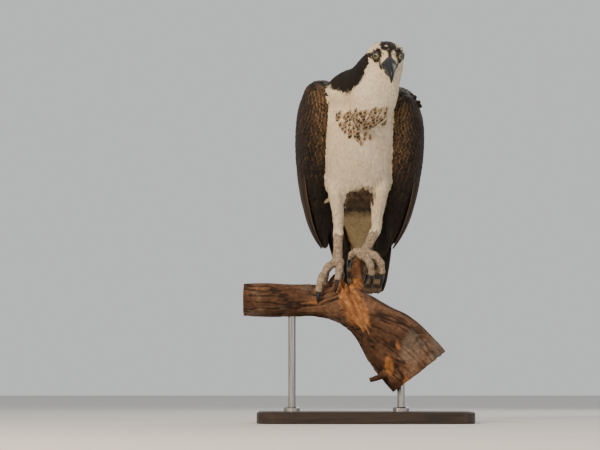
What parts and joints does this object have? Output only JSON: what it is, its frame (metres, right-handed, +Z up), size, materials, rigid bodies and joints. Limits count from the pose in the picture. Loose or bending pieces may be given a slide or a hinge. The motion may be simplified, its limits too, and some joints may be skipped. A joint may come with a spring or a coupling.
{
  "type": "osprey",
  "caption": "A life-size osprey in white and dark brown plumage, leaning forward on a cut length of dead branch, on a plain display stand.",
  "frame": {"origin": "The base_underside mount: on the flat underside of the stand's base, below the perch", "axes": "+Z up; the bird faces -Y and its left side is towards +X"},
  "size_m": [0.3523, 0.3902, 0.5808],
  "materials": {
    "white_plumage": "soft matte feathers",
    "brown_plumage": "matte feathers with paler edges",
    "horn": "satin horn",
    "eye": "wet gloss",
    "scales": "matte scaly skin",
    "talon": "polished black horn",
    "bark": "weathered dead branch with torn wood",
    "stand_wood": "satin dark stain",
    "stand_metal": "satin"
  },
  "bodies": {
    "root": {"trunk": "white_plumage", "neck": "white_plumage", "head": "white_plumage", "bill_upper": "horn", "bill_lower": "horn", "eye_right": "eye", "eye_left": "eye", "wing_right": "brown_plumage", "wing_left": "brown_plumage", "tail": "brown_plumage", "primaries_right": "brown_plumage", "primaries_left": "brown_plumage", "thigh_right": "white_plumage", "tarsus_right": "scales", "foot_right": "scales", "talon_right_1": "talon", "talon_right_2": "talon", "talon_right_3": "talon", "talon_right_4": "talon", "thigh_left": "white_plumage", "tarsus_left": "scales", "foot_left": "scales", "talon_left_1": "talon", "talon_left_2": "talon", "talon_left_3": "talon", "talon_left_4": "talon", "perch": "bark", "stand_base": "stand_wood", "stand_rod_left": "stand_metal", "stand_rod_right": "stand_metal"}
  },
  "joints": []
}
